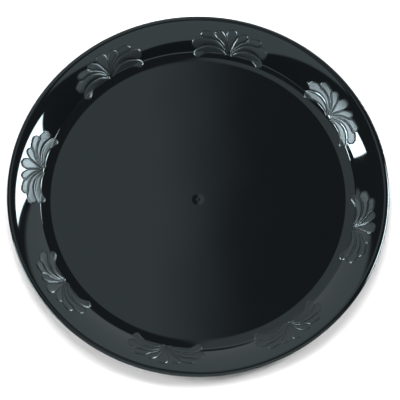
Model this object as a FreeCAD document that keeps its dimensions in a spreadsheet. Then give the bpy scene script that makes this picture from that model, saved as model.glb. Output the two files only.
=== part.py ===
import FreeCAD, Part

import math
import os

import Sketcher

# Round serving tray, moulded in one piece from glossy plastic. Lengths are in millimetres.
#
# Frame: the tray lies flat on its foot ring, with +Z up and the origin at the centre of the
# foot's plane. One fan ornament points along +X, and the others follow at equal angles.

NODE = "tray_moulding"

DIMENSIONS = [
    # alias, value, meaning
    ("outer_radius", 130.0, "edge of the rolled lip"),
    ("wall", 1.6, "wall thickness"),
    ("foot_depth", 1.6, "foot ring, below the underside of the floor"),
    ("foot_radius", 86.0, "foot ring, middle of its width"),
    ("foot_width", 2.4, "foot ring, where it rests on the table"),
    ("foot_draft", 0.3, "foot ring, widening on each side up to the floor"),
    ("floor_radius", 100.0, "edge of the flat floor of the well"),
    ("rise_radius", 40.0, "gentle rise round the floor, in section"),
    ("fillet_radius", 2.0, "hollow between the rise and the wall of the well, in section"),
    ("fillet_middle", 106.6, "middle of that hollow's arc, from the middle of the tray"),
    ("wall_angle", 35.5, "slope of the wall of the well, in degrees"),
    ("wall_end_radius", 109.5, "where the straight wall turns into the domed rim"),
    ("rim_radius", 58.5, "dome of the rim, in section"),
    ("crest_radius", 127.6, "highest circle of the tray, on the lip"),
    ("lip_radius", 5.0, "roll of the lip, in section"),
    ("relief_height", 0.6, "petals, above the rim"),
    ("relief_sink", 0.8, "petals, into the rim that they grow from"),
    ("fan_count", 8, "fans round the rim"),
    ("fan_radius", 106.7, "hub of each fan, from the middle of the tray"),
    ("hub_radius", 4.8, "petal roots, from the hub"),
    ("root_step", 21.8, "turn from one petal root to the next, in degrees"),
    ("root_round", 0.35, "radius of a petal's root"),
    ("blank_height", 20.0, "petal blanks, before they are cut to the rim"),
    ("tip_out_0", 12.4, "centre petal: middle of its round tip, outwards from the hub"),
    ("tip_round_0", 3.6, "centre petal: radius of its tip"),
    ("bow_0", 36.0, "centre petal: radius of its long sides"),
    ("tip_out_1", 11.9, "first side petal: middle of its tip, outwards"),
    ("tip_side_1", 9.0, "first side petal: middle of its tip, sideways"),
    ("tip_round_1", 2.3, "first side petal: radius of its tip"),
    ("bow_1", 28.0, "first side petal: radius of its long sides"),
    ("tip_out_2", 9.4, "second side petal"),
    ("tip_side_2", 19.0, ""),
    ("tip_round_2", 2.2, ""),
    ("bow_2", 23.0, ""),
    ("tip_out_3", 3.4, "third side petal"),
    ("tip_side_3", 24.0, ""),
    ("tip_round_3", 2.3, ""),
    ("bow_3", 23.0, ""),
    ("tip_out_4", -2.3, "last side petal"),
    ("tip_side_4", 21.4, ""),
    ("tip_round_4", 2.3, ""),
    ("bow_4", 16.0, ""),
    ("dimple_radius", 5.5, "sink at the gate, in the middle of the floor"),
    ("dimple_depth", 0.15, "depth of that sink"),
    ("gate_radius", 0.9, "stub left by the gate"),
    ("gate_height", 0.25, "stub, above the bottom of the sink"),
]
SIDE_PETALS = 4
UP = FreeCAD.Vector(0, 0, 1)
START, END, CENTRE = 1, 2, 3
ORIGIN_POINT = (-1, START)
HORIZONTAL_AXIS = -1
VERTICAL_AXIS = -2
FLOOR_TOP = "dimensions.foot_depth + dimensions.wall"

doc = FreeCAD.newDocument("serving_tray")


def fill_sheet():
    """Put the dimensions in a spreadsheet and return its values by alias."""
    sheet = doc.addObject("Spreadsheet::Sheet", "dimensions")
    for row, (alias, value, meaning) in enumerate(DIMENSIONS, start=1):
        sheet.set(f"A{row}", meaning)
        sheet.set(f"B{row}", str(value))
        sheet.setAlias(f"B{row}", alias)
    doc.recompute()
    return {alias: sheet.get(alias) for alias, _, _ in DIMENSIONS}


size = fill_sheet()


# Helpers for bodies and sketches.


def point(x, y):
    return FreeCAD.Vector(x, y, 0)


def polar(centre, radius, degrees):
    """Return the point at a radius and direction from a centre, in the plane of a sketch."""
    angle = math.radians(degrees)
    return centre + point(radius * math.cos(angle), radius * math.sin(angle))


def direction(centre, target):
    return math.degrees(math.atan2(target.y - centre.y, target.x - centre.x))


def make_body(name):
    body = doc.addObject("PartDesign::Body", name)
    body.Label = name
    return body


def make_sketch(body, name, plane_role):
    sketch = body.newObject("Sketcher::SketchObject", name)
    plane = next(item for item in body.Origin.OriginFeatures if item.Role == plane_role)
    sketch.AttachmentSupport = [(plane, "")]
    sketch.MapMode = "FlatFace"
    return sketch


def add_line(sketch, first, second):
    return sketch.addGeometry(Part.LineSegment(first, second), False)


def add_arc(sketch, centre, first, second, through):
    """Add the arc about a centre between two points that passes the direction of a third."""
    turns = [direction(centre, spot) for spot in (first, through, second)]
    start, middle, end = turns
    if (middle - start) % 360 > (end - start) % 360:
        start, end = end, start
    circle = Part.Circle(centre, UP, (first - centre).Length)
    arc = Part.ArcOfCircle(circle, math.radians(start), math.radians(end))
    return sketch.addGeometry(arc, False)


def tie(sketch, kind, *where):
    sketch.addConstraint(Sketcher.Constraint(kind, *where))


def join(sketch, kind, first, second):
    """Tie two pieces of outline at the ends where they meet."""
    pairs = [(one, other) for one in (START, END) for other in (START, END)]
    gaps = [(sketch.getPoint(first, one) - sketch.getPoint(second, other)).Length for one, other in pairs]
    one, other = pairs[gaps.index(min(gaps))]
    tie(sketch, kind, first, one, second, other)


def bind(sketch, name, expression, kind, *where):
    """Add a dimension to a sketch and let the spreadsheet drive it."""
    value = sketch.evalExpression(expression)
    if kind == "Angle":
        value = math.radians(value)
    index = sketch.addConstraint(Sketcher.Constraint(kind, *where, float(value)))
    sketch.renameConstraint(index, name)
    sketch.setExpression("Constraints." + name, expression)


def turn_about_axis(body, kind, name, sketch):
    feature = body.newObject("PartDesign::" + kind, name)
    feature.Profile = sketch
    feature.ReferenceAxis = (sketch, ["V_Axis"])
    feature.Angle = 360


# The wall of the tray. Its profile is a run of straight and round stretches between two curves
# that keep the same distance from the upper face everywhere. In the profile, X is a radius of
# the tray and Y is a height.


def draw_wall_profile(sketch, over, under):
    """Draw the layer from over (above the tray's upper face) to under (below it).

    Both are expressions on the spreadsheet, in millimetres.
    """
    above = sketch.evalExpression(over)
    below = sketch.evalExpression(under)
    floor_top = sketch.evalExpression(FLOOR_TOP)
    slope = math.radians(size["wall_angle"])
    outward = point(-math.sin(slope), math.cos(slope))

    rise_centre = point(size["floor_radius"], floor_top + size["rise_radius"])
    centre_gap = size["rise_radius"] - size["fillet_radius"]
    rise_end_turn = -math.degrees(math.acos((size["fillet_middle"] - size["floor_radius"]) / centre_gap))
    hollow_centre = polar(rise_centre, centre_gap, rise_end_turn)
    hollow_end = hollow_centre - outward * size["fillet_radius"]
    wall_run = size["wall_end_radius"] - hollow_end.x
    wall_end = hollow_end + point(wall_run, wall_run * math.tan(slope))
    rim_centre = wall_end - outward * size["rim_radius"]
    centre_gap = size["rim_radius"] - size["lip_radius"]
    rim_end_turn = math.degrees(math.acos((size["crest_radius"] - rim_centre.x) / centre_gap))
    lip_centre = polar(rim_centre, centre_gap, rim_end_turn)
    lip_middle = size["lip_radius"] + (above - below) / 2
    edge_radius = (above + below) / 2
    lip_reach = size["outer_radius"] - edge_radius - size["crest_radius"]
    lip_turn = math.degrees(math.acos(lip_reach / lip_middle))
    edge_centre = polar(lip_centre, lip_middle, lip_turn)

    faces = []
    for offset in (above, -below):
        floor_edge = point(size["floor_radius"], floor_top + offset)
        rise_end = polar(hollow_centre, size["fillet_radius"] - offset, rise_end_turn)
        bend = hollow_end + outward * offset
        shoulder = wall_end + outward * offset
        rim_end = polar(lip_centre, size["lip_radius"] + offset, rim_end_turn)
        end = polar(lip_centre, size["lip_radius"] + offset, lip_turn)
        floor = add_line(sketch, point(0, floor_edge.y), floor_edge)
        rise = add_arc(sketch, rise_centre, floor_edge, rise_end, (floor_edge + rise_end) / 2)
        hollow = add_arc(sketch, hollow_centre, rise_end, bend, (rise_end + bend) / 2)
        wall = add_line(sketch, bend, shoulder)
        rim = add_arc(sketch, rim_centre, shoulder, rim_end, (shoulder + rim_end) / 2)
        lip = add_arc(sketch, lip_centre, rim_end, end, (rim_end + end) / 2)
        run = [floor, rise, hollow, wall, rim, lip]
        for first, second in zip(run, run[1:]):
            join(sketch, "Tangent", first, second)
        tie(sketch, "Horizontal", floor)
        tie(sketch, "PointOnObject", floor, START, VERTICAL_AXIS)
        faces.append((run, end))

    (top_run, top_end), (low_run, low_end) = faces
    floor, rise, hollow, wall, rim, lip = top_run
    edge = add_arc(sketch, edge_centre, top_end, low_end, point(size["outer_radius"], edge_centre.y))
    axis = add_line(sketch, sketch.getPoint(floor, START), sketch.getPoint(low_run[0], START))
    join(sketch, "Tangent", lip, edge)
    join(sketch, "Tangent", edge, low_run[-1])
    join(sketch, "Coincident", floor, axis)
    join(sketch, "Coincident", axis, low_run[0])
    tie(sketch, "Parallel", wall, low_run[3])
    for order in (1, 2, 4, 5):
        tie(sketch, "Coincident", top_run[order], CENTRE, low_run[order], CENTRE)

    bind(sketch, "top_height", f"{FLOOR_TOP} + {over}", "DistanceY", *ORIGIN_POINT, floor, START)
    bind(sketch, "low_height", f"{FLOOR_TOP} - {under}", "DistanceY", *ORIGIN_POINT, low_run[0], START)
    bind(sketch, "floor_radius", "dimensions.floor_radius", "DistanceX", *ORIGIN_POINT, floor, END)
    bind(sketch, "rise_radius", f"dimensions.rise_radius - {over}", "Radius", rise)
    bind(sketch, "hollow_radius", f"dimensions.fillet_radius - {over}", "Radius", hollow)
    bind(sketch, "hollow_middle", "dimensions.fillet_middle", "DistanceX", *ORIGIN_POINT, hollow, CENTRE)
    bind(sketch, "wall_angle", "dimensions.wall_angle", "Angle", wall)
    bind(sketch, "wall_end", f"dimensions.wall_end_radius - {over} * sin(dimensions.wall_angle * 1 deg)",
         "DistanceX", *ORIGIN_POINT, wall, END)
    bind(sketch, "rim_radius", f"dimensions.rim_radius + {over}", "Radius", rim)
    bind(sketch, "crest_radius", "dimensions.crest_radius", "DistanceX", *ORIGIN_POINT, lip, CENTRE)
    bind(sketch, "lip_radius", f"dimensions.lip_radius + {over}", "Radius", lip)
    bind(sketch, "edge_middle", f"dimensions.outer_radius - ({over} + {under}) / 2",
         "DistanceX", *ORIGIN_POINT, edge, CENTRE)


def make_layer(name, over, under):
    body = make_body(name)
    sketch = make_sketch(body, name + "_profile", "XZ_Plane")
    draw_wall_profile(sketch, over, under)
    turn_about_axis(body, "Revolution", name + "_turned", sketch)
    return body


def add_foot(body):
    """Add the foot ring, a little narrower where it rests than where it joins the floor."""
    sketch = make_sketch(body, "foot_profile", "XZ_Plane")
    inside = size["foot_radius"] - size["foot_width"] / 2
    outside = size["foot_radius"] + size["foot_width"] / 2
    draft = size["foot_draft"]
    top = size["foot_depth"] + size["wall"] / 2
    corners = [point(inside, 0), point(outside, 0), point(outside + draft, top), point(inside - draft, top)]
    lines = [add_line(sketch, *ends) for ends in zip(corners, corners[1:] + corners[:1])]
    for first, second in zip(lines, lines[1:] + lines[:1]):
        tie(sketch, "Coincident", first, END, second, START)
    base, _, joint, _ = lines
    tie(sketch, "Horizontal", joint)
    tie(sketch, "PointOnObject", base, START, HORIZONTAL_AXIS)
    tie(sketch, "PointOnObject", base, END, HORIZONTAL_AXIS)
    bind(sketch, "inside", "dimensions.foot_radius - dimensions.foot_width / 2",
         "DistanceX", *ORIGIN_POINT, base, START)
    bind(sketch, "width", "dimensions.foot_width", "DistanceX", base, START, base, END)
    bind(sketch, "top", "dimensions.foot_depth + dimensions.wall / 2",
         "DistanceY", *ORIGIN_POINT, joint, START)
    bind(sketch, "outer_draft", "dimensions.foot_draft", "DistanceX", base, END, joint, START)
    bind(sketch, "inner_draft", "dimensions.foot_draft", "DistanceX", joint, END, base, START)
    turn_about_axis(body, "Revolution", "foot_turned", sketch)


def add_gate_mark(body):
    """Sink the middle of the floor a little, and leave the stub of the gate standing in it."""
    sketch = make_sketch(body, "dimple_profile", "XZ_Plane")
    floor_top = sketch.evalExpression(FLOOR_TOP)
    reach = size["dimple_radius"]
    depth = size["dimple_depth"]
    ball = (reach ** 2 + depth ** 2) / (2 * depth)
    brim = point(reach, floor_top)
    middle = point(0, floor_top)
    bottom = point(0, floor_top - depth)
    bowl = add_arc(sketch, bottom + point(0, ball), bottom, brim, (bottom + brim) / 2)
    lid = add_line(sketch, middle, brim)
    axis = add_line(sketch, middle, bottom)
    join(sketch, "Coincident", bowl, lid)
    join(sketch, "Coincident", lid, axis)
    join(sketch, "Coincident", axis, bowl)
    tie(sketch, "Horizontal", lid)
    tie(sketch, "PointOnObject", lid, START, VERTICAL_AXIS)
    tie(sketch, "PointOnObject", axis, END, VERTICAL_AXIS)
    tie(sketch, "PointOnObject", bowl, CENTRE, VERTICAL_AXIS)
    bind(sketch, "floor_top", FLOOR_TOP, "DistanceY", *ORIGIN_POINT, lid, START)
    bind(sketch, "radius", "dimensions.dimple_radius", "DistanceX", lid, START, lid, END)
    bind(sketch, "depth", "dimensions.dimple_depth", "DistanceY", axis, END, axis, START)
    turn_about_axis(body, "Groove", "dimple_turned", sketch)

    outline = make_sketch(body, "gate_outline", "XY_Plane")
    outline.setExpression("AttachmentOffset.Base.z", "dimensions.foot_depth + dimensions.wall / 2")
    circle = outline.addGeometry(Part.Circle(point(0, 0), UP, size["gate_radius"]), False)
    tie(outline, "Coincident", circle, CENTRE, *ORIGIN_POINT)
    bind(outline, "radius", "dimensions.gate_radius", "Radius", circle)
    stub = body.newObject("PartDesign::Pad", "gate_stub")
    stub.Profile = outline
    stub.setExpression("Length", "dimensions.wall / 2 - dimensions.dimple_depth + dimensions.gate_height")


# The fans. Their petals are drawn flat, raised as blanks and cut to a layer that follows the
# rim. In the drawing, X runs outwards from the middle of the tray and Y runs sideways.


def circles_meet(first, first_radius, second, second_radius, side):
    """Return the point at two distances from two points, to the left (1) or right (-1) of them."""
    span = second - first
    gap = span.Length
    along = (first_radius ** 2 - second_radius ** 2 + gap ** 2) / (2 * gap)
    across = math.sqrt(first_radius ** 2 - along ** 2)
    unit = span / gap
    return first + unit * along + point(-unit.y, unit.x) * across * side


def long_side(sketch, root, root_round, tip, tip_round, bow, hollow, side):
    """Draw one long side: an arc that touches the petal's root and tip.

    It is hollow (1) or bulging (-1), and its centre lies to the left (1) or right (-1) of the
    petal, as seen from the root. Return the arc and its two ends.
    """
    centre = circles_meet(root, bow + hollow * root_round, tip, bow + hollow * tip_round, side)
    near, far = (centre + (spot - centre) / (spot - centre).Length * bow for spot in (root, tip))
    return add_arc(sketch, centre, near, far, (near + far) / 2), (near, far)


def draw_petal(sketch, number, side):
    """Draw one petal: a small round root, a larger round tip and two long sides.

    Number 0 is the centre petal, with two hollow sides. The others lie on the side that has
    the sign of side, and curl round from it, so one long side is hollow and one bulges.
    """
    name = f"petal_{number}_{'left' if side > 0 else 'right'}"
    hub = point(size["fan_radius"], 0)
    root = polar(hub, size["hub_radius"], side * number * size["root_step"])
    tip = hub + point(size[f"tip_out_{number}"], side * size.get(f"tip_side_{number}", 0))
    root_round = size["root_round"]
    tip_round = size[f"tip_round_{number}"]
    shapes = [(1, 1), (1, -1)] if number == 0 else [(1, side), (-1, side)]
    drawn = [long_side(sketch, root, root_round, tip, tip_round, size[f"bow_{number}"], *shape)
             for shape in shapes]
    sides, ends = zip(*drawn)
    (near_first, far_first), (near_second, far_second) = ends
    root_cap = add_arc(sketch, root, near_first, near_second, root * 2 - tip)
    tip_cap = add_arc(sketch, tip, far_first, far_second, tip * 2 - root)
    for cap in (root_cap, tip_cap):
        for arc in sides:
            join(sketch, "Tangent", cap, arc)

    bind(sketch, name + "_root_round", "dimensions.root_round", "Radius", root_cap)
    bind(sketch, name + "_tip_round", f"dimensions.tip_round_{number}", "Radius", tip_cap)
    turn = f"{number} * dimensions.root_step * 1 deg"
    bind(sketch, name + "_root_out", f"dimensions.fan_radius + dimensions.hub_radius * cos({turn})",
         "DistanceX", *ORIGIN_POINT, root_cap, CENTRE)
    bind(sketch, name + "_tip_out", f"dimensions.fan_radius + dimensions.tip_out_{number}",
         "DistanceX", *ORIGIN_POINT, tip_cap, CENTRE)
    for order, arc in enumerate(sides):
        bind(sketch, f"{name}_bow_{order}", f"dimensions.bow_{number}", "Radius", arc)
    if number == 0:
        tie(sketch, "PointOnObject", root_cap, CENTRE, HORIZONTAL_AXIS)
        tie(sketch, "PointOnObject", tip_cap, CENTRE, HORIZONTAL_AXIS)
        return
    bind(sketch, name + "_root_side", f"{side} * dimensions.hub_radius * sin({turn})",
         "DistanceY", *ORIGIN_POINT, root_cap, CENTRE)
    bind(sketch, name + "_tip_side", f"{side} * dimensions.tip_side_{number}",
         "DistanceY", *ORIGIN_POINT, tip_cap, CENTRE)


def make_petal_blanks():
    """Draw the petals of one fan, raise them and repeat the fan round the tray."""
    body = make_body("petal_blanks")
    body.AllowCompound = True
    sketch = make_sketch(body, "fan_outline", "XY_Plane")
    draw_petal(sketch, 0, 1)
    for number in range(1, SIDE_PETALS + 1):
        for side in (1, -1):
            draw_petal(sketch, number, side)
    pad = body.newObject("PartDesign::Pad", "fan_blank")
    pad.Profile = sketch
    pad.setExpression("Length", "dimensions.blank_height")
    doc.recompute()
    pattern = body.newObject("PartDesign::PolarPattern", "fan_ring")
    pattern.Originals = [pad]
    pattern.Axis = (next(item for item in body.Origin.OriginFeatures if item.Role == "Z_Axis"), [""])
    pattern.Angle = 360
    pattern.setExpression("Occurrences", "dimensions.fan_count")
    body.Tip = pattern
    return body


def combine(kind, name, base, tool):
    feature = doc.addObject("Part::" + kind, name)
    feature.Base = base
    feature.Tool = tool
    feature.Label = name
    return feature


# The tray: the shell, with the petals moulded on it.

shell = make_layer("shell", "0", "dimensions.wall")
add_foot(shell)
add_gate_mark(shell)
relief_layer = make_layer("relief_layer", "dimensions.relief_height", "dimensions.relief_sink")
petal_blanks = make_petal_blanks()
petals = combine("Common", "petals", relief_layer, petal_blanks)
tray = combine("Fuse", NODE, shell, petals)
doc.recompute()


def check_document():
    """Stop if any object failed, or if the tray isn't one valid solid."""
    for item in doc.Objects:
        if "Invalid" in item.State or "Error" in item.State:
            raise RuntimeError(f"{item.Name} failed: {item.State}")
    for item in doc.findObjects("Sketcher::SketchObject"):
        if not item.FullyConstrained:
            raise RuntimeError(f"{item.Name} isn't fully constrained")
    if tray.Shape.isNull() or not tray.Shape.isValid() or len(tray.Shape.Solids) != 1:
        raise RuntimeError("the tray isn't one valid solid")


check_document()
os.makedirs("parts", exist_ok=True)
tray.Shape.exportStep(f"parts/{NODE}.step")
box = tray.Shape.optimalBoundingBox()
print(f"{NODE}: {box.XLength:.2f} x {box.YLength:.2f} x {box.ZLength:.2f} mm")
print(f"volume {tray.Shape.Volume / 1000:.1f} cm3")
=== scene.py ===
import math

import bpy
import numpy as np
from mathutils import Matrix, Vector


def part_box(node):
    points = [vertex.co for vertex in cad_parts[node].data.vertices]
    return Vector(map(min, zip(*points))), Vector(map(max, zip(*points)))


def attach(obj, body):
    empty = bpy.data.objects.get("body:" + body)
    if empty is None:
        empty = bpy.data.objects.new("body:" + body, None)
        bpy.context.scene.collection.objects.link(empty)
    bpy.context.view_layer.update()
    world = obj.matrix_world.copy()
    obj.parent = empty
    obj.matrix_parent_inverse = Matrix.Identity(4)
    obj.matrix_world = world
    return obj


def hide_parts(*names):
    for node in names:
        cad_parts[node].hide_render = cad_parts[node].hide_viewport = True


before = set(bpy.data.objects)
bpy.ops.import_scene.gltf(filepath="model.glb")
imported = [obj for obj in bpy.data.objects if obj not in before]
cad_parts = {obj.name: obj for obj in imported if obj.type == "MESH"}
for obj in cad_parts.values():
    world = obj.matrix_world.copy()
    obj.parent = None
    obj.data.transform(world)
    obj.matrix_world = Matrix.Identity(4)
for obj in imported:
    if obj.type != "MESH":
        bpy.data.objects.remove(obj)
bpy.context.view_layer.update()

# A round serving tray of glossy black plastic. The tray's mesh is worked out from its profile,
# in millimetres, and goes to Blender in metres. Its outer size comes from the frame.

NODE = "tray_moulding"
MM = 0.001

low_corner, high_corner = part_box(NODE)
OUTER_RADIUS = (high_corner[0] - low_corner[0]) / 2 / MM

# The wall's profile.
WALL = 1.6
FOOT_DEPTH = 1.6
FOOT_RADIUS = 86.0
FOOT_WIDTH = 2.4
FOOT_FLANK = 80.0
FOOT_ROUND = 0.35
FLOOR_RADIUS = 100.0
RISE_RADIUS = 40.0
HOLLOW_RADIUS = 2.0
HOLLOW_MIDDLE = 106.6
WALL_ANGLE = 35.5
WALL_END_RADIUS = 109.5
RIM_RADIUS = 58.5
CREST_RADIUS = 127.6
LIP_RADIUS = 5.0

# The fans. In a fan's plan, out runs away from the middle of the tray and side runs along the rim.
FAN_COUNT = 8
FAN_RADIUS = 106.7
FAN_HALF_ANGLE = math.radians(15.2)
BAND_START_RADIUS = 101.2
BAND_END_RADIUS = 124.2
HUB_RADIUS = 2.0
ROOT_STEP = math.radians(20)
ROOT_WIDTH = 0.45
RELIEF_HEIGHT = 0.42
GROOVE = 0.16
SHOULDER = 0.95
# out and side of a petal's tip, half its width there, and the radius that it curls to;
# 0 is straight
PETALS = [
    (12.2, 0.0, 3.8, 0.0),
    (11.1, 8.7, 3.1, 17.0),
    (9.2, 18.4, 2.9, 15.0),
    (3.6, 23.4, 2.9, 15.0),
    (-2.3, 21.3, 2.5, 16.0),
]

# The mark that the gate leaves in the middle of the floor.
DIMPLE_RADIUS = 4.5
DIMPLE_DEPTH = 0.05
STUB_RADIUS = 0.95
STUB_HEIGHT = 0.15

# How unflat the floor of the well is, which dies away towards its edge.
SHORT_WAVE_HEIGHT = 0.004
LONG_WAVE_HEIGHT = 0.008
WAVE_FADE = 15.0

# Mesh. Rings of vertices lie a step apart along the profile, from the middle of the floor.
CENTRE_STEP = 0.45
CENTRE_RADIUS = 9.0
FLOOR_STEP = 3.0
BAND_STEP = 0.45
# One step for each stretch of the profile after the floor, in the order of wall_steps.
ROW_STEPS = [BAND_STEP, BAND_STEP, BAND_STEP, BAND_STEP, 0.4, 0.25, 0.5, 1.4, 1.4, 0.8, 2.0, 4.0,
             0.18, 0.5, 0.18, 0.8, 0.18, 0.5, 0.18, 6.0]
# Vertices round a ring: in each fan and each gap of the rings through the fans, and in a plain ring.
FAN_COLUMNS = 136
GAP_COLUMNS = 14
PLAIN_COLUMNS = 224
NORMAL_NUDGE = 0.02

# Roughness of the gloss and of the satin, as (lowest, range), uneven by that range.
POLISH = (0.02, 0.03)
FROST = (0.32, 0.08)

# Camera, with its angles in degrees and its distances in metres.
CAMERA_AZIMUTH = 11.3
CAMERA_ELEVATION = 70.5
CAMERA_DISTANCE = 3.8
TARGET_UP = 0.0131
TARGET_RIGHT = 0.0013
TARGET_DOWN_PICTURE = 0.0037
VIEW_WIDTH = 0.2718
SENSOR_WIDTH = 36.0

# Studio cards, as (left, right, front, back, softness of the edges, radiance). They are plain
# rectangles on an imagined ceiling at height 1, set out in the camera's bearing: right of the
# picture is positive across, and away from the camera is positive to the back.
SOFTBOX = 30.0
CARDS = [
    (-60.0, 60.0, 0.8, 900.0, 0.08, 0.9),
    (-0.5, 0.5, -0.8, 0.0, 0.03, 0.9),
    (-0.5, 0.0, 0.2, 0.8, 0.01, 0.6),
    (0.75, 1.6, 0.0, 0.6, 0.01, SOFTBOX),
    (-2.0, -1.0, -0.6, 0.2, 0.01, SOFTBOX),
]
# Glow low down all round, as the heights of a direction where it starts and is full.
HORIZON_START = 0.30
HORIZON_FULL = 0.18
HORIZON_RADIANCE = 0.9
AMBIENT = 0.03

# The key light, with its angles in degrees and its distances in metres.
KEY_AROUND = 100.0
KEY_ELEVATION = 68.0
KEY_DISTANCE = 2.5
KEY_SIZE = 1.6
KEY_POWER = 75.0

STUDIO_FLOOR_REACH = 6.0
STUDIO_FLOOR_COLOUR = (0.55, 0.55, 0.55, 1)


# The profile, walked from the middle of the floor, over the lip and back underneath.


def wall_steps():
    """Return the walk as (kind, size, turn): a run of size, or an arc of radius size."""
    slope = math.radians(WALL_ANGLE)
    rise_turn = math.degrees(math.asin((HOLLOW_MIDDLE - FLOOR_RADIUS) / (RISE_RADIUS - HOLLOW_RADIUS)))
    hollow_turn = WALL_ANGLE - rise_turn
    wall_start = HOLLOW_MIDDLE + HOLLOW_RADIUS * math.sin(slope)
    wall_length = (WALL_END_RADIUS - wall_start) / math.cos(slope)
    rim_middle = WALL_END_RADIUS + RIM_RADIUS * math.sin(slope)
    rim_end = math.degrees(math.asin((rim_middle - CREST_RADIUS) / (RIM_RADIUS - LIP_RADIUS)))
    rim_turn = WALL_ANGLE - rim_end
    lip_reach = (OUTER_RADIUS - WALL / 2 - CREST_RADIUS) / (LIP_RADIUS - WALL / 2)
    lip_turn = rim_end + math.degrees(math.asin(lip_reach))
    flank = math.radians(FOOT_FLANK)
    bend_drop = 2 * FOOT_ROUND * (1 - math.cos(flank))
    flank_length = (FOOT_DEPTH - bend_drop) / math.sin(flank)
    sole = FOOT_WIDTH - 2 * FOOT_ROUND * math.tan(flank / 2)
    flank_reach = 2 * FOOT_ROUND * math.sin(flank) + flank_length * math.cos(flank)
    foot_top = sole / 2 + flank_reach
    return [
        ("run", FLOOR_RADIUS, 0),
        ("arc", RISE_RADIUS, rise_turn),
        ("arc", HOLLOW_RADIUS, hollow_turn),
        ("run", wall_length, 0),
        ("arc", RIM_RADIUS, -rim_turn),
        ("arc", LIP_RADIUS, -lip_turn),
        ("arc", WALL / 2, -180),
        ("arc", LIP_RADIUS - WALL, lip_turn),
        ("arc", RIM_RADIUS - WALL, rim_turn),
        ("run", wall_length, 0),
        ("arc", HOLLOW_RADIUS + WALL, -hollow_turn),
        ("arc", RISE_RADIUS + WALL, -rise_turn),
        ("run", FLOOR_RADIUS - FOOT_RADIUS - foot_top, 0),
        ("arc", FOOT_ROUND, FOOT_FLANK),
        ("run", flank_length, 0),
        ("arc", FOOT_ROUND, -FOOT_FLANK),
        ("run", sole, 0),
        ("arc", FOOT_ROUND, -FOOT_FLANK),
        ("run", flank_length, 0),
        ("arc", FOOT_ROUND, FOOT_FLANK),
        ("run", FOOT_RADIUS - foot_top, 0),
    ]


def walk(steps):
    """Follow the steps from the middle of the floor. Return each stretch with its start."""
    place = np.array([0.0, FOOT_DEPTH + WALL])
    heading = 0.0
    travelled = 0.0
    stretches = []
    for kind, amount, turn in steps:
        bend = math.radians(turn)
        length = amount if kind == "run" else amount * abs(bend)
        curve = 0.0 if kind == "run" else bend / length
        stretches.append((travelled, length, place.copy(), heading, curve))
        r, z, heading_after = stretch_point(stretches[-1], np.array([travelled + length]))
        place = np.array([r[0], z[0]])
        heading = heading_after[0]
        travelled += length
    return stretches


def stretch_point(stretch, path):
    """Return radius, height and heading along one stretch."""
    start, _, place, heading, curve = stretch
    along = path - start
    if curve == 0:
        r = place[0] + along * math.cos(heading)
        z = place[1] + along * math.sin(heading)
        return r, z, heading + 0 * along
    now = heading + along * curve
    r = place[0] + (np.sin(now) - math.sin(heading)) / curve
    z = place[1] - (np.cos(now) - math.cos(heading)) / curve
    return r, z, now


STRETCHES = walk(wall_steps())
FLOOR_END = STRETCHES[1][0]
LIP_START = STRETCHES[5][0]
PATH_LENGTH = STRETCHES[-1][0] + STRETCHES[-1][1]


def profile(path):
    """Return radius, height and heading for an array of distances along the profile."""
    r = np.zeros_like(path)
    z = np.zeros_like(path)
    heading = np.zeros_like(path)
    for order, stretch in enumerate(STRETCHES):
        start = -np.inf if order == 0 else stretch[0]
        end = np.inf if order == len(STRETCHES) - 1 else stretch[0] + stretch[1]
        here = (path >= start) & (path < end)
        r[here], z[here], heading[here] = stretch_point(stretch, path[here])
    return r, z, heading


# The relief on the rim.


def smooth(value, low, high):
    """Return a smooth step from 0 at low to 1 at high."""
    share = np.clip((value - low) / (high - low), 0, 1)
    return share * share * (3 - 2 * share)


def petal_spine(number, mirror):
    """Return points along the middle of a petal with the half width at each."""
    tip_out, tip_side, tip_width, bow = PETALS[number]
    turn = number * ROOT_STEP
    root = np.array([HUB_RADIUS * math.cos(turn), HUB_RADIUS * math.sin(turn)])
    tip = np.array([tip_out, tip_side])
    share = np.linspace(0, 1, 90)[:, None]
    points = root + (tip - root) * share
    if bow:
        chord = tip - root
        length = np.hypot(*chord)
        across = np.array([chord[1], -chord[0]]) / length
        depth = math.sqrt(bow ** 2 - (length / 2) ** 2)
        swell = np.sqrt(bow ** 2 - ((share - 0.5) * length) ** 2) - depth
        points = points + across * swell
    points[:, 1] *= mirror
    widths = ROOT_WIDTH + (tip_width - ROOT_WIDTH) * share[:, 0] ** 0.65
    return points, widths


SPINES = [petal_spine(0, 1)] + [petal_spine(n, m) for n in range(1, len(PETALS)) for m in (1, -1)]


def fan_relief(out, side):
    """Return the height of the relief and the share of satin at points of a fan's plan."""
    margins = []
    widths = []
    for points, spine_widths in SPINES:
        inside = np.full(out.shape, -99.0)
        width = np.full(out.shape, ROOT_WIDTH)
        for (spine_out, spine_side), spine_width in zip(points, spine_widths):
            depth = spine_width - np.hypot(out - spine_out, side - spine_side)
            closer = depth > inside
            inside[closer] = depth[closer]
            width[closer] = spine_width
        margins.append(inside)
        widths.append(width)
    margins = np.array(margins)
    order = np.argsort(margins, axis=0)
    best = np.take_along_axis(margins, order[-1:], axis=0)[0]
    second = np.take_along_axis(margins, order[-2:-1], axis=0)[0]
    width = np.take_along_axis(np.array(widths), order[-1:], axis=0)[0]
    inside = np.minimum(best, (best - second - GROOVE) / 2)
    shoulder = np.minimum(width, SHOULDER)
    dome = np.sin(np.clip(inside / shoulder, 0, 1) * math.pi / 2)
    height = RELIEF_HEIGHT * np.minimum(width / SHOULDER, 1) ** 0.6 * dome
    satin = smooth(inside, -0.05, 0.25)
    return height, satin


def in_band(path, r):
    """Tell which points lie in the band of the upper side that the fans stand on."""
    return (path < LIP_START) & (r > BAND_START_RADIUS) & (r < BAND_END_RADIUS)


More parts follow.
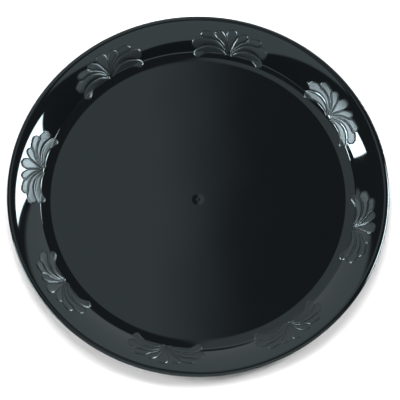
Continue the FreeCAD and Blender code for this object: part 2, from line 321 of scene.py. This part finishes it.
def relief(path, angle):
    """Return the relief's height and the share of satin anywhere on the tray."""
    r, _, _ = profile(path)
    height = np.zeros_like(r)
    satin = np.zeros_like(r)
    pitch = 2 * math.pi / FAN_COUNT
    turn = (angle + pitch / 2) % pitch - pitch / 2
    here = in_band(path, r) & (abs(turn) < FAN_HALF_ANGLE)
    out = r[here] * np.cos(turn[here]) - FAN_RADIUS
    side = r[here] * np.sin(turn[here])
    height[here], satin[here] = fan_relief(out, side)
    return height, satin


def floor_shape(r, angle):
    """Return how far the floor stands from a true plane: the gate's mark and a slight unflatness."""
    x = r * np.cos(angle)
    y = r * np.sin(angle)
    dimple = -DIMPLE_DEPTH * (1 - smooth(r, 0, DIMPLE_RADIUS))
    stub = STUB_HEIGHT * (1 - smooth(r, STUB_RADIUS * 0.4, STUB_RADIUS * 1.4))
    short_wave = SHORT_WAVE_HEIGHT * np.sin(x / 11 + 0.6) * np.cos(y / 14 + 1.1)
    long_wave = LONG_WAVE_HEIGHT * np.sin(x / 27 - y / 35 + 0.4)
    fade = smooth(FLOOR_RADIUS - r, 0, WAVE_FADE)
    return dimple + stub + (short_wave + long_wave) * fade


def surface(path, angle):
    """Return points of the tray's surface and the share of satin there."""
    r, z, heading = profile(path)
    height, satin = relief(path, angle)
    floor = path < FLOOR_END
    height[floor] += floor_shape(r[floor], angle[floor])
    r = r - np.sin(heading) * height
    z = z + np.cos(heading) * height
    return np.stack([r * np.cos(angle), r * np.sin(angle), z], axis=-1), satin


# Mesh.


def spread(start, end, step):
    """Return even distances from start up to but not including end, about a step apart."""
    count = max(1, round((end - start) / step))
    return list(np.linspace(start, end, count, endpoint=False))


def rows():
    """Return the distances along the profile that get a ring of vertices."""
    result = spread(CENTRE_STEP, CENTRE_RADIUS, CENTRE_STEP) + spread(CENTRE_RADIUS, FLOOR_END, FLOOR_STEP)
    for (start, length, *_), step in zip(STRETCHES[1:], ROW_STEPS):
        result += spread(start, start + length, step)
    return np.array(result)


def ring_angles():
    """Return the angles of a plain ring, and of a ring through the fans."""
    plain = np.linspace(0, 2 * math.pi, PLAIN_COLUMNS, endpoint=False)
    pitch = 2 * math.pi / FAN_COUNT
    fine = []
    for fan in range(FAN_COUNT):
        fan_start = fan * pitch - FAN_HALF_ANGLE
        fan_end = fan * pitch + FAN_HALF_ANGLE
        next_start = fan * pitch + pitch - FAN_HALF_ANGLE
        fine += list(np.linspace(fan_start, fan_end, FAN_COLUMNS, endpoint=False))
        fine += list(np.linspace(fan_end, next_start, GAP_COLUMNS, endpoint=False))
    return plain, np.array(fine)


def stitch(first, first_angles, second, second_angles):
    """Join two closed rings of vertices, facing up where the second ring lies outside."""
    if len(first) == len(second):
        count = len(first)
        pairs = [(i, (i + 1) % count) for i in range(count)]
        return [(first[i], second[i], second[j], first[j]) for i, j in pairs]
    faces = []
    i = j = 0
    count, other = len(first), len(second)
    shift = first_angles[0]
    turns = list((first_angles - shift) % (2 * math.pi)) + [2 * math.pi]
    start = int(np.argmin((second_angles - shift) % (2 * math.pi)))
    second = second[start:] + second[:start]
    rolled = np.roll(second_angles, -start)
    other_turns = list((rolled - shift) % (2 * math.pi)) + [2 * math.pi + (rolled[0] - shift) % (2 * math.pi)]
    while i < count or j < other:
        step_first = j == other or (i < count and turns[i + 1] <= other_turns[j + 1])
        if step_first:
            faces.append((first[i], second[j % other], first[(i + 1) % count]))
            i += 1
        else:
            faces.append((first[i % count], second[j], second[(j + 1) % other]))
            j += 1
    return faces


def lay_rings():
    """Return the rings as (vertex numbers, angles), and every vertex's path and angle.

    The first vertex is the middle of the floor, and the last is the middle of the underside.
    """
    plain, fine = ring_angles()
    paths = rows()
    radii, _, _ = profile(paths)
    band = in_band(paths, radii)
    path_list = [np.array([0.0])]
    angle_list = [np.array([0.0])]
    rings = []
    total = 1
    for path, through_fans in zip(paths, band):
        angles = fine if through_fans else plain
        rings.append((list(range(total, total + len(angles))), angles))
        path_list.append(np.full(len(angles), path))
        angle_list.append(angles)
        total += len(angles)
    path_list.append(np.array([PATH_LENGTH]))
    angle_list.append(np.array([0.0]))
    return rings, np.concatenate(path_list), np.concatenate(angle_list)


def tray_faces(rings, last_vertex):
    """Return the faces that join the rings, and close the two middles."""
    first, last = rings[0][0], rings[-1][0]
    faces = [(0, first[i], first[(i + 1) % len(first)]) for i in range(len(first))]
    for (ring, angles), (next_ring, next_angles) in zip(rings, rings[1:]):
        faces += stitch(ring, angles, next_ring, next_angles)
    faces += [(last[i], last_vertex, last[(i + 1) % len(last)]) for i in range(len(last))]
    return faces


def surface_normals(path, angle):
    """Return the unit normals at the vertices, from points of the surface close on each side."""
    turn = NORMAL_NUDGE / 100
    along = surface(path + NORMAL_NUDGE, angle)[0] - surface(path - NORMAL_NUDGE, angle)[0]
    around = surface(path, angle + turn)[0] - surface(path, angle - turn)[0]
    normals = np.cross(along, around)
    normals[0] = (0, 0, 1)
    normals[-1] = (0, 0, -1)
    return normals / np.linalg.norm(normals, axis=1)[:, None]


def build_tray():
    """Make the tray's mesh object, with smooth normals worked out from its surface."""
    rings, path, angle = lay_rings()
    points, satin = surface(path, angle)
    faces = tray_faces(rings, len(path) - 1)
    normals = surface_normals(path, angle)

    mesh = bpy.data.meshes.new("tray")
    mesh.from_pydata(points * MM, [], faces)
    mesh.update()
    mesh.polygons.foreach_set("use_smooth", [True] * len(mesh.polygons))
    mesh.normals_split_custom_set_from_vertices(normals.tolist())
    mesh.attributes.new("satin", "FLOAT", "POINT").data.foreach_set("value", satin)
    tray = bpy.data.objects.new("tray", mesh)
    bpy.context.scene.collection.objects.link(tray)
    return tray


# Material.


def math_node(tree, operation, *values):
    """Add a math node on sockets and numbers, and return its output."""
    node = tree.nodes.new("ShaderNodeMath")
    node.operation = operation
    for socket, value in zip(node.inputs, values):
        if isinstance(value, bpy.types.NodeSocket):
            tree.links.new(value, socket)
        else:
            socket.default_value = value
    return node.outputs[0]


def tray_plastic():
    """Glossy black moulded plastic, satin on the petals."""
    material = bpy.data.materials.new("tray_plastic")
    material.use_nodes = True
    tree = material.node_tree
    shader = tree.nodes["Principled BSDF"]
    shader.inputs["Base Color"].default_value = (0.0020, 0.0026, 0.0029, 1)
    shader.inputs["IOR"].default_value = 1.55
    shader.inputs["Specular Tint"].default_value = (0.80, 1.0, 1.07, 1)
    place = tree.nodes.new("ShaderNodeTexCoord").outputs["Object"]
    petals = tree.nodes.new("ShaderNodeAttribute")
    petals.attribute_name = "satin"
    satin = petals.outputs["Fac"]

    haze = tree.nodes.new("ShaderNodeTexNoise")
    haze.inputs["Scale"].default_value = 35
    haze.inputs["Detail"].default_value = 4
    tree.links.new(place, haze.inputs["Vector"])
    polish = math_node(tree, "MULTIPLY_ADD", haze.outputs["Fac"], POLISH[1], POLISH[0])
    frost = math_node(tree, "MULTIPLY_ADD", haze.outputs["Fac"], FROST[1], FROST[0])
    extra = math_node(tree, "SUBTRACT", frost, polish)
    rough = math_node(tree, "MULTIPLY_ADD", extra, satin, polish)
    tree.links.new(rough, shader.inputs["Roughness"])

    grain = tree.nodes.new("ShaderNodeTexNoise")
    grain.inputs["Scale"].default_value = 1800
    grain.inputs["Detail"].default_value = 2
    tree.links.new(place, grain.inputs["Vector"])
    grain_height = math_node(tree, "MULTIPLY", grain.outputs["Fac"], satin)
    bump = tree.nodes.new("ShaderNodeBump")
    bump.inputs["Strength"].default_value = 0.35
    bump.inputs["Distance"].default_value = 0.0002
    tree.links.new(grain_height, bump.inputs["Height"])
    tree.links.new(bump.outputs["Normal"], shader.inputs["Normal"])
    return material


# Studio: floor, lights, world and camera, set out from the camera's bearing.

azimuth = math.radians(CAMERA_AZIMUTH)
RIGHT = Vector((math.cos(azimuth), math.sin(azimuth), 0))
BACK = Vector((-math.sin(azimuth), math.cos(azimuth), 0))
UP = Vector((0, 0, 1))


def bearing(around, up):
    """Return the direction at an angle around from the right of the picture, and an elevation."""
    around = math.radians(around)
    up = math.radians(up)
    level = RIGHT * math.cos(around) + BACK * math.sin(around)
    return level * math.cos(up) + UP * math.sin(up)


def aim(thing, place, target):
    """Put a light or camera at a place, looking at the target."""
    thing.location = place
    thing.rotation_euler = (place - target).to_track_quat("Z", "Y").to_euler()


def add_key_light():
    """Add a wide soft light overhead that only lights the floor, and stays out of the reflections."""
    light = bpy.data.lights.new("key", "AREA")
    light.shape = "DISK"
    light.size = KEY_SIZE
    light.energy = KEY_POWER
    key = bpy.data.objects.new("key", light)
    bpy.context.scene.collection.objects.link(key)
    aim(key, bearing(KEY_AROUND, KEY_ELEVATION) * KEY_DISTANCE, Vector((0, 0, 0)))
    key.visible_glossy = False


def add_floor():
    """Add the pale studio floor that the tray stands on."""
    mesh = bpy.data.meshes.new("floor")
    reach = STUDIO_FLOOR_REACH
    mesh.from_pydata([(-reach, -reach, 0), (reach, -reach, 0), (reach, reach, 0), (-reach, reach, 0)], [],
                     [(0, 1, 2, 3)])
    material = bpy.data.materials.new("floor")
    material.use_nodes = True
    shader = material.node_tree.nodes["Principled BSDF"]
    shader.inputs["Base Color"].default_value = STUDIO_FLOOR_COLOUR
    shader.inputs["Roughness"].default_value = 0.9
    mesh.materials.append(material)
    floor = bpy.data.objects.new("floor", mesh)
    bpy.context.scene.collection.objects.link(floor)


def ramp(tree, value, low, high):
    """Return a smooth step from 0 at low to 1 at high."""
    node = tree.nodes.new("ShaderNodeMapRange")
    node.interpolation_type = "SMOOTHSTEP"
    tree.links.new(value, node.inputs["Value"])
    node.inputs["From Min"].default_value = low
    node.inputs["From Max"].default_value = high
    return node.outputs["Result"]


def depth_in_span(tree, place, start, end):
    """Return how far a place lies inside a span, negative outside it."""
    offset = math_node(tree, "ABSOLUTE", math_node(tree, "SUBTRACT", place, (start + end) / 2))
    return math_node(tree, "SUBTRACT", (end - start) / 2, offset)


def add_world():
    """Light the studio by direction, with cards set out on an imagined ceiling."""
    world = bpy.data.worlds.new("studio")
    world.use_nodes = True
    bpy.context.scene.world = world
    tree = world.node_tree
    background = tree.nodes["Background"]
    direction = tree.nodes.new("ShaderNodeTexCoord").outputs["Generated"]
    turned = tree.nodes.new("ShaderNodeVectorRotate")
    turned.rotation_type = "Z_AXIS"
    turned.inputs["Angle"].default_value = -azimuth
    tree.links.new(direction, turned.inputs["Vector"])
    parts = tree.nodes.new("ShaderNodeSeparateXYZ")
    tree.links.new(turned.outputs["Vector"], parts.inputs["Vector"])
    x, y, z = parts.outputs
    height = math_node(tree, "MAXIMUM", z, 0.01)
    across = math_node(tree, "DIVIDE", x, height)
    back = math_node(tree, "DIVIDE", y, height)

    light = math_node(tree, "MULTIPLY", ramp(tree, z, HORIZON_START, HORIZON_FULL), HORIZON_RADIANCE)
    for left, right, near, far, soft, radiance in CARDS:
        depth = math_node(tree, "MINIMUM", depth_in_span(tree, across, left, right),
                          depth_in_span(tree, back, near, far))
        mask = ramp(tree, depth, -soft, soft)
        light = math_node(tree, "MAXIMUM", light, math_node(tree, "MULTIPLY", mask, radiance))
    light = math_node(tree, "ADD", light, AMBIENT)
    tree.links.new(light, background.inputs["Strength"])
    background.inputs["Color"].default_value = (1, 1, 1, 1)


def add_camera():
    """Add the camera, at the picture's viewing angle."""
    data = bpy.data.cameras.new("camera")
    camera = bpy.data.objects.new("camera", data)
    bpy.context.scene.collection.objects.link(camera)
    up = math.radians(CAMERA_ELEVATION)
    view = BACK * -math.cos(up) + UP * math.sin(up)
    picture_up = BACK * math.sin(up) + UP * math.cos(up)
    target = UP * TARGET_UP + RIGHT * TARGET_RIGHT - picture_up * TARGET_DOWN_PICTURE
    aim(camera, target + view * CAMERA_DISTANCE, target)
    data.sensor_width = SENSOR_WIDTH
    data.lens = SENSOR_WIDTH * CAMERA_DISTANCE / VIEW_WIDTH
    data.clip_end = 100
    bpy.context.scene.camera = camera


tray = build_tray()
tray.data.materials.append(tray_plastic())
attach(tray, "root")
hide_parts(NODE)
add_floor()
add_world()
add_key_light()
add_camera()
bpy.context.scene.view_settings.view_transform = "Standard"
